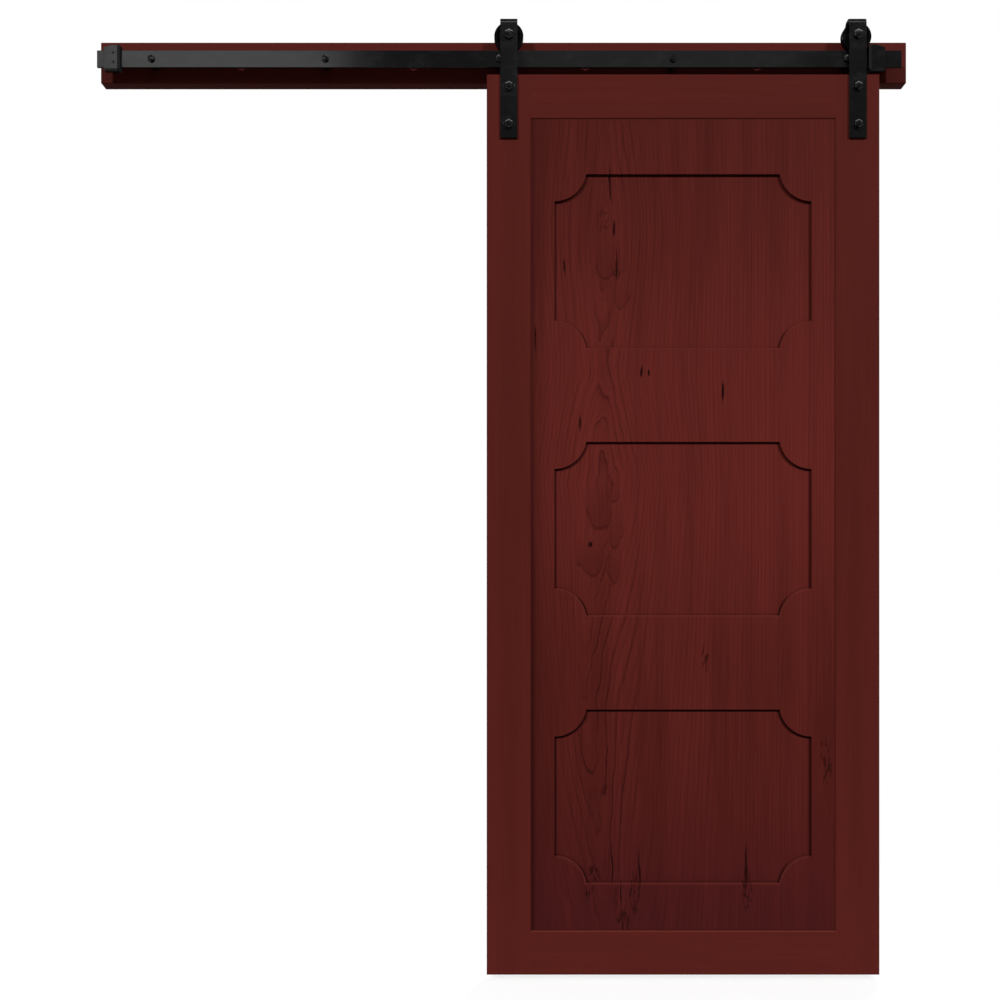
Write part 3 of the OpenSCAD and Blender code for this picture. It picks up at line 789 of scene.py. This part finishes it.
def hex_head_rings(flats, seat, top):
    """Rings of a hexagon head from its seat to its bevelled, slightly domed top."""
    out = 1 if top > seat else -1
    edge, face = hex_edge(flats), hex_edge(flats * BEVEL_FACE)
    shoulder = top - out * flats / 2 * (1 - BEVEL_FACE) * HEAD_BEVEL
    return [(edge, seat), (edge, shoulder), (face, top), (flats * DOME_FACE, top + out * HEAD_DOME)]


def nut_rings(bore, flats, seat, top):
    """Rings of a hexagon nut round its bore, bevelled like a head, without the dome."""
    return [(bore, seat)] + hex_head_rings(flats, seat, top)[:-1] + [(bore, top)]


def thread_rings(radius, start, end, pitch):
    """Rings of a bolt's threaded tail, ridge after ridge, from start to end along Y."""
    ridges = max(1, round(abs(end - start) / (pitch / 2)))
    rings = []
    for step in range(ridges + 1):
        depth = THREAD_DEPTH if step % 2 else 0
        rings.append((radius - depth, start + (end - start) * step / ridges))
    return rings


def mesh_of(shape, name, finish, sharp=SHARP_ANGLE):
    """A shape as a smooth mesh with sharp edges, in one finish."""
    mesh = bpy.data.meshes.new(name)
    shape.to_mesh(mesh)
    shape.free()
    mesh.shade_smooth()
    mesh.set_sharp_from_angle(angle=sharp)
    mesh.materials.append(finish)
    return mesh


def new_piece(mesh, name, body, slot, *nodes):
    """Hangs a finished mesh on its body, in place of the CAD nodes it stands for."""
    piece = bpy.data.objects.new(name, mesh)
    scene.collection.objects.link(piece)
    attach(piece, body)
    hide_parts(*nodes)
    return piece


def softened_piece(node, body, slot, finish, ease):
    """A CAD node's own shape with rounded edges."""
    mesh = mesh_of(soften(welded_copy(node), ease), f"{node}_piece", finish)
    piece = new_piece(mesh, f"{node}_piece", body, slot, node)
    piece.modifiers.new("level_faces", "WEIGHTED_NORMAL").keep_sharp = True


def turned_piece(node, body, slot, finish, rings, loop=False):
    """A turned shape set on the middle of the CAD node it stands for, its rings' y in the door's frame."""
    low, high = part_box(node)
    shape = turned(rings, loop)
    middle = Vector(((low.x + high.x) / 2, 0, (low.z + high.z) / 2))
    bmesh.ops.translate(shape, verts=shape.verts, vec=middle)
    mesh = mesh_of(shape, f"{node}_piece", finish, TURNED_SHARP_ANGLE)
    new_piece(mesh, f"{node}_piece", body, slot, node)


def row_tree(name):
    """Geometry Nodes that set one fastener along a straight row."""
    tree = bpy.data.node_groups.new(name, "GeometryNodeTree")
    tree.interface.new_socket("Row", in_out="OUTPUT", socket_type="NodeSocketGeometry")
    kinds = {"Fastener": "Object", "Count": "Int", "First": "Vector", "Step": "Vector", "Finish": "Material"}
    names = {
        key: tree.interface.new_socket(key, in_out="INPUT", socket_type=f"NodeSocket{kind}").identifier
        for key, kind in kinds.items()
    }
    given = tree.nodes.new("NodeGroupInput").outputs
    row = tree.nodes.new("GeometryNodeMeshLine")
    shape = tree.nodes.new("GeometryNodeObjectInfo")
    copies = tree.nodes.new("GeometryNodeInstanceOnPoints")
    real = tree.nodes.new("GeometryNodeRealizeInstances")
    coat = tree.nodes.new("GeometryNodeSetMaterial")
    result = tree.nodes.new("NodeGroupOutput")
    for source, target in (
        (given["Count"], row.inputs["Count"]),
        (given["First"], row.inputs["Start Location"]),
        (given["Step"], row.inputs["Offset"]),
        (given["Fastener"], shape.inputs["Object"]),
        (row.outputs["Mesh"], copies.inputs["Points"]),
        (shape.outputs["Geometry"], copies.inputs["Instance"]),
        (copies.outputs["Instances"], real.inputs["Geometry"]),
        (real.outputs["Geometry"], coat.inputs["Geometry"]),
        (given["Finish"], coat.inputs["Material"]),
        (coat.outputs["Geometry"], result.inputs["Row"]),
    ):
        tree.links.new(source, target)
    return tree, names


fastener_row, row_inputs = row_tree("fastener_row")


def row_piece(node, body, slot, finish, shape, count, first, step):
    """One fastener's shape repeated along a row, as one plain mesh."""
    pattern = mesh_of(shape, f"{node}_one", finish, TURNED_SHARP_ANGLE)
    one = bpy.data.objects.new(f"{node}_one", pattern)
    carrier = bpy.data.objects.new(f"{node}_carrier", bpy.data.meshes.new(f"{node}_carrier"))
    scene.collection.objects.link(one)
    scene.collection.objects.link(carrier)
    modifier = carrier.modifiers.new("row", "NODES")
    modifier.node_group = fastener_row
    given = {"Fastener": one, "Count": count, "First": list(first), "Step": list(step), "Finish": finish}
    for key, value in given.items():
        modifier[row_inputs[key]] = value
    evaluated = carrier.evaluated_get(bpy.context.evaluated_depsgraph_get())
    mesh = bpy.data.meshes.new_from_object(evaluated)
    mesh.name = f"{node}_piece"
    carrier.modifiers.remove(modifier)
    bpy.data.objects.remove(carrier)
    bpy.data.objects.remove(one)
    new_piece(mesh, f"{node}_piece", body, slot, node)


# Finishes of the pieces
panel_wood = carved_panel("stained_panel")
upright_wood = {
    "left": stained_board("stained_left_stile", "Z", 1.0),
    "right": stained_board("stained_right_stile", "Z", 4.0),
}
rail_wood = {
    "top": stained_board("stained_top_rail", "X", 2.0),
    # The bottom rail gets a painted highlight along its top edge, at the panel's foot
    "bottom": stained_board("stained_bottom_rail", "X", 6.0, highlight_level=panel_foot),
}
header_wood = stained_board("stained_header", "X", 9.0)
coat = black_coat("black_powder_coat", STEEL_GLOSS)
wheel_coat = black_coat("dull_wheel_coat", WHEEL_GLOSS)
steel = turned_steel("turned_bearing_steel")
rubber = moulded_rubber("moulded_rubber")
dowel = bare_dowel("bare_dowel_wood")

# Boards
softened_piece("header_board", "frame", "stained_wood", header_wood, BOARD_EASE)
softened_piece("door_panel", "door", "stained_wood", panel_wood, PANEL_EASE)
for side, wood in upright_wood.items():
    softened_piece(f"{side}_stile", "door", "stained_wood", wood, BOARD_EASE)
for end, wood in rail_wood.items():
    softened_piece(f"{end}_rail", "door", "stained_wood", wood, BOARD_EASE)

# Track, stops and straps
softened_piece("track_bar", "frame", "black_steel", coat, STEEL_EASE)
for side in SIDES:
    softened_piece(f"{side}_stop_block", "frame", "black_steel", coat, STEEL_EASE)
    softened_piece(f"{side}_stop_bumper", "frame", "black_rubber", rubber, STEEL_EASE)
    softened_piece(f"{side}_stop_screws", "frame", "black_steel", coat, SET_SCREW_EASE)
    softened_piece(f"{side}_hanger_strap", "door", "black_steel", coat, STEEL_EASE)

# Lag screws and spacers, in a row along the track
track_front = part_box("track_bar")[0].y
lag_low, lag_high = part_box("track_lag_screws")
lag_first = (lag_low.x + LAG_HEAD / 2, 0, (lag_low.z + lag_high.z) / 2)
lag_step = ((lag_high.x - lag_low.x - LAG_HEAD) / (LAG_COUNT - 1), 0, 0)
lag_shape = turned(
    [(LAG_SHANK, lag_high.y), (LAG_SHANK, track_front)]
    + hex_head_rings(LAG_HEAD, track_front, lag_low.y + HEAD_DOME))
row_piece("track_lag_screws", "frame", "black_steel", coat, lag_shape, LAG_COUNT, lag_first, lag_step)
spacer_low, spacer_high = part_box("track_spacers")
spacer_radius = (spacer_high.z - spacer_low.z) / 2
spacer_shape = flat_ring(LAG_SHANK, spacer_radius, spacer_low.y, spacer_high.y)
row_piece("track_spacers", "frame", "black_steel", coat, spacer_shape, LAG_COUNT, lag_first, lag_step)

# Hangers: door bolts with their washers and nuts, axles and wheels
for side in SIDES:
    bolt_low, bolt_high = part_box(f"{side}_hanger_bolts")
    washer_low, washer_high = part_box(f"{side}_hanger_washers")
    nut_low, nut_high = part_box(f"{side}_hanger_nuts")
    washer_radius = (washer_high.x - washer_low.x) / 2
    middle = (washer_low.x + washer_high.x) / 2
    lower, upper = washer_low.z + washer_radius, washer_high.z - washer_radius
    row = (DOOR_BOLT_COUNT, (middle, 0, lower), (0, 0, upper - lower))
    strap_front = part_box(f"{side}_hanger_strap")[0].y
    bolt_shape = turned(
        thread_rings(DOOR_BOLT_SHANK, bolt_high.y, nut_low.y, DOOR_BOLT_PITCH)
        + [(DOOR_BOLT_SHANK, washer_low.y)]
        + hex_head_rings(DOOR_BOLT_HEAD, washer_low.y, bolt_low.y + HEAD_DOME))
    row_piece(f"{side}_hanger_bolts", "door", "black_steel", coat, bolt_shape, *row)
    washer_shape = bmesh.new()
    for near_face, far_face in ((washer_low.y, strap_front), (door_high.y, washer_high.y)):
        disc = flat_ring(DOOR_BOLT_SHANK, washer_radius, near_face, far_face)
        spare = bpy.data.meshes.new("washer")
        disc.to_mesh(spare)
        disc.free()
        washer_shape.from_mesh(spare)
        bpy.data.meshes.remove(spare)
    row_piece(f"{side}_hanger_washers", "door", "black_steel", coat, washer_shape, *row)
    nut_shape = turned(nut_rings(DOOR_BOLT_SHANK, DOOR_BOLT_HEAD, nut_low.y, nut_high.y), loop=True)
    row_piece(f"{side}_hanger_nuts", "door", "black_steel", coat, nut_shape, *row)

    axle_low, axle_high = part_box(f"{side}_axle_bolt")
    axle_nut_low, axle_nut_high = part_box(f"{side}_axle_nut")
    turned_piece(f"{side}_axle_bolt", "door", "black_steel", coat,
                 thread_rings(AXLE_SHANK, axle_high.y, axle_nut_low.y, AXLE_PITCH)
                 + [(AXLE_SHANK, strap_front)]
                 + hex_head_rings(AXLE_HEAD, strap_front, axle_low.y + HEAD_DOME))
    turned_piece(f"{side}_axle_nut", "door", "black_steel", coat,
                 nut_rings(AXLE_SHANK, AXLE_HEAD, axle_nut_low.y, axle_nut_high.y), loop=True)

    wheel_low, wheel_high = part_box(f"{side}_wheel")
    rim = (wheel_high.x - wheel_low.x) / 2
    mid = (wheel_low.y + wheel_high.y) / 2
    half_rim = WHEEL_RIM_GROOVE / 2
    half_tread = WHEEL_GROOVE / 2
    turned_piece(f"{side}_wheel", f"{side}_roller", "black_steel", wheel_coat, [
        (WHEEL_BORE, wheel_low.y), (WHEEL_DISH_IN, wheel_low.y),
        (WHEEL_DISH_IN + WHEEL_EASE, wheel_low.y + WHEEL_DISH),
        (WHEEL_DISH_OUT - WHEEL_EASE, wheel_low.y + WHEEL_DISH), (WHEEL_DISH_OUT, wheel_low.y),
        (rim - WHEEL_EASE, wheel_low.y), (rim, wheel_low.y + WHEEL_EASE),
        (rim, mid - half_rim), (WHEEL_TREAD, mid - half_tread),
        (WHEEL_TREAD, mid + half_tread), (rim, mid + half_rim),
        (rim, wheel_high.y - WHEEL_EASE), (rim - WHEEL_EASE, wheel_high.y),
        (WHEEL_DISH_OUT, wheel_high.y), (WHEEL_DISH_OUT - WHEEL_EASE, wheel_high.y - WHEEL_DISH),
        (WHEEL_DISH_IN + WHEEL_EASE, wheel_high.y - WHEEL_DISH), (WHEEL_DISH_IN, wheel_high.y),
        (WHEEL_BORE, wheel_high.y)], loop=True)

# Bearings, bushes and dowels keep their CAD shapes
for name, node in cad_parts.items():
    if "bearing" in name or name.endswith("_bush"):
        node.data.materials[0] = steel
    elif name == "corner_dowels":
        node.data.materials[0] = dowel

# Camera
photo_scale = door_width / (PHOTO_DOOR_RIGHT - PHOTO_DOOR_LEFT)
lens = bpy.data.cameras.new("photo_camera")
lens.sensor_width = SENSOR
lens.lens = SENSOR * CAMERA_REACH / (photo_scale * PHOTO_SIDE)
lens.shift_y = (PHOTO_HORIZON - PHOTO_SIDE / 2) / PHOTO_SIDE
camera = bpy.data.objects.new("photo_camera", lens)
camera.location = (
    door_low.x + (PHOTO_SIDE / 2 - PHOTO_DOOR_LEFT) * photo_scale,
    door_low.y - CAMERA_REACH,
    door_high.z - (PHOTO_HORIZON - PHOTO_DOOR_TOP) * photo_scale,
)
camera.rotation_euler = (math.pi / 2, 0, 0)
scene.collection.objects.link(camera)
scene.camera = camera

# Studio: two key lights before the door and one behind it, soft cards before and above it, a pale floor and
# a white surround. Key lights are placed by the way round from the front and the height, in degrees.
KEY_AROUND = 38
KEY_HEIGHT = 30
KEY_STRENGTH = 1.78
BACK_AROUND = 160
BACK_HEIGHT = 35
BACK_STRENGTH = 2.4
SUN_SPREAD = math.radians(5)
CARD_FRONT = -4.0
LEFT_CARD_PLACE = Vector((-1.55, CARD_FRONT, 1.61))
TRACK_TARGET = Vector((-0.65, 0, 0))
LEFT_CARD_SIZE = (1.40, 0.40)
LEFT_CARD_POWER = 4.5
RIGHT_CARD_PLACE = Vector((0.85, CARD_FRONT, 1.61))
DOOR_TARGET = Vector((0.4, 0, 0))
RIGHT_CARD_SIZE = (1.50, 0.40)
RIGHT_CARD_POWER = 0.8
STRAP_CARD_HEIGHT = 2.85
STRAP_CARD_SIZE = (0.40, 1.2)
STRAP_CARD_POWER = 8.0
TOP_CARD_PLACES = ((-1.10, -0.75), (0.57, -1.00), (1.13, -0.75), (2.87, -0.25))
TOP_CARD_HEIGHT = 3.2
TOP_CARD_SIZE = (0.5, 0.8)
TOP_CARD_POWER = 6.0

# The floor, and the white that shows behind the object and in what mirrors it
FLOOR_GAP = 0.012
FLOOR_SEGMENTS = 64
FLOOR_REACH = 1.9
FLOOR_CLEAR = 0.45
FLOOR_FADE_END = 0.78
FLOOR_NARROW = 0.8
FLOOR_CLOUD = ((3.0, 3.0, 3.0), 3.0, 1.0)
FLOOR_CLOUD_RISE = (0.3, 0.7)
FLOOR_ROUGH = 0.8
FLOOR_GLOSS = 0.1
FLOOR_GLOW = 0.64
SURROUND = 0.12
BACKDROP_BEHIND = (0.20, 0.45)
BACKDROP_FOOT = (-0.20, -0.05)
BACKDROP_SIDE = (0.38, 0.52)
BACKDROP_TOP = (0.38, 0.28)


def sun_light(name, around, height, strength, glints=True):
    """A key light. Without glints, coats don't mirror it."""
    light = bpy.data.lights.new(name, "SUN")
    light.energy = strength
    light.angle = SUN_SPREAD
    lamp = bpy.data.objects.new(name, light)
    lamp.rotation_euler = (math.radians(90 - height), 0, math.radians(around))
    lamp.visible_glossy = glints
    scene.collection.objects.link(lamp)


def card_light(name, place, target, size, power):
    """A soft light that faces its target."""
    light = bpy.data.lights.new(name, "AREA")
    light.shape = "RECTANGLE"
    light.size, light.size_y = size
    light.energy = power
    lamp = bpy.data.objects.new(name, light)
    lamp.location = place
    lamp.rotation_euler = (target - place).to_track_quat("-Z", "Y").to_euler()
    scene.collection.objects.link(lamp)


sun_light("left_key", -KEY_AROUND, KEY_HEIGHT, KEY_STRENGTH)
sun_light("right_key", KEY_AROUND, KEY_HEIGHT, KEY_STRENGTH)
sun_light("back_light", BACK_AROUND, BACK_HEIGHT, BACK_STRENGTH, glints=False)
card_light("left_card", LEFT_CARD_PLACE, TRACK_TARGET, LEFT_CARD_SIZE, LEFT_CARD_POWER)
card_light("right_card", RIGHT_CARD_PLACE, DOOR_TARGET, RIGHT_CARD_SIZE, RIGHT_CARD_POWER)
for number, (x, y) in enumerate(TOP_CARD_PLACES):
    place = Vector((x, y, TOP_CARD_HEIGHT))
    card_light(f"top_card_{number}", place, DOOR_TARGET, TOP_CARD_SIZE, TOP_CARD_POWER)
# Each strap mirrors a card of its own to the camera
for side in SIDES:
    strap_low, strap_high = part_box(f"{side}_hanger_strap")
    strap = (strap_low + strap_high) / 2
    camera_far = camera.location.y - strap_low.y
    mirror_reach = (camera.location.y + CARD_FRONT - 2 * strap_low.y) / camera_far
    across = camera.location.x + (strap.x - camera.location.x) * mirror_reach
    place = Vector((across, CARD_FRONT, STRAP_CARD_HEIGHT))
    card_light(f"{side}_strap_card", place, strap, STRAP_CARD_SIZE, STRAP_CARD_POWER)


def background_rays(tree):
    """1 for the rays that show the background: seen, mirrored or through a clear thing."""
    rays = Shade(tree).node("ShaderNodeLightPath")
    return [rays.outlet(f"Is {kind} Ray") for kind in ("Camera", "Glossy", "Transmission")]


def pale_floor(name):
    """Pale floor that keeps the shadow, shows white and fades into the surround."""
    finish, surface, place = new_finish(name)
    tree = finish.node_tree
    x, y = place.parts()[:2]
    speck = place.noise(*FLOOR_CLOUD)
    speck.step(*FLOOR_CLOUD_RISE).blend(FLOOR_PALE, FLOOR_SPECK).feed(surface["Base Color"])
    surface["Roughness"].default_value = FLOOR_ROUGH
    surface["Specular IOR Level"].default_value = FLOOR_GLOSS
    solid = Shade(tree, tree.nodes["Principled BSDF"].outputs[0])
    clear = place.node("ShaderNodeBsdfTransparent")
    seen, mirrored, through = background_rays(tree)
    white = seen.larger(mirrored).larger(through)
    white.blend(BLACK, (FLOOR_GLOW, FLOOR_GLOW, FLOOR_GLOW, 1)).feed(surface["Emission Color"])
    surface["Emission Strength"].default_value = 1.0
    aside = (x - door_middle) * FLOOR_NARROW
    fade = (aside * aside + y * y).root().step(FLOOR_CLEAR, FLOOR_REACH * FLOOR_FADE_END)
    mixed = fade.node("ShaderNodeMixShader", {}, {0: fade, 1: solid, 2: clear})
    mixed.feed(tree.nodes["Material Output"].inputs["Surface"])
    return finish


floor_shape = bmesh.new()
floor_middle = (door_middle, 0, cad_box[0].z - FLOOR_GAP)
bmesh.ops.create_circle(floor_shape, cap_ends=True, segments=FLOOR_SEGMENTS, radius=FLOOR_REACH)
bmesh.ops.translate(floor_shape, verts=floor_shape.verts, vec=floor_middle)
floor_mesh = mesh_of(floor_shape, "pale_floor", pale_floor("pale_floor"))
floor = bpy.data.objects.new("pale_floor", floor_mesh)
scene.collection.objects.link(floor)


def white_surround():
    """White behind the object, and a dim studio for the light that falls on it."""
    world = bpy.data.worlds.new("white_surround")
    world.use_nodes = True
    tree = world.node_tree
    surround = tree.nodes["Background"].inputs
    way = Shade(tree).node("ShaderNodeTexCoord", output="Generated")
    seen, mirrored, through = background_rays(tree)
    x, y, z = way.parts()
    behind = y.step(*BACKDROP_BEHIND) * z.step(*BACKDROP_FOOT)
    beside = x.size().step(*BACKDROP_SIDE)
    backdrop = behind.larger(beside) * z.step(*BACKDROP_TOP)
    white = seen.larger(through).larger(mirrored * backdrop)
    white.step(0.0, 1.0, SURROUND, 1.0).feed(surround["Strength"])
    surround["Color"].default_value = WHITE
    return world


scene.world = white_surround()
scene.view_settings.view_transform = "Standard"
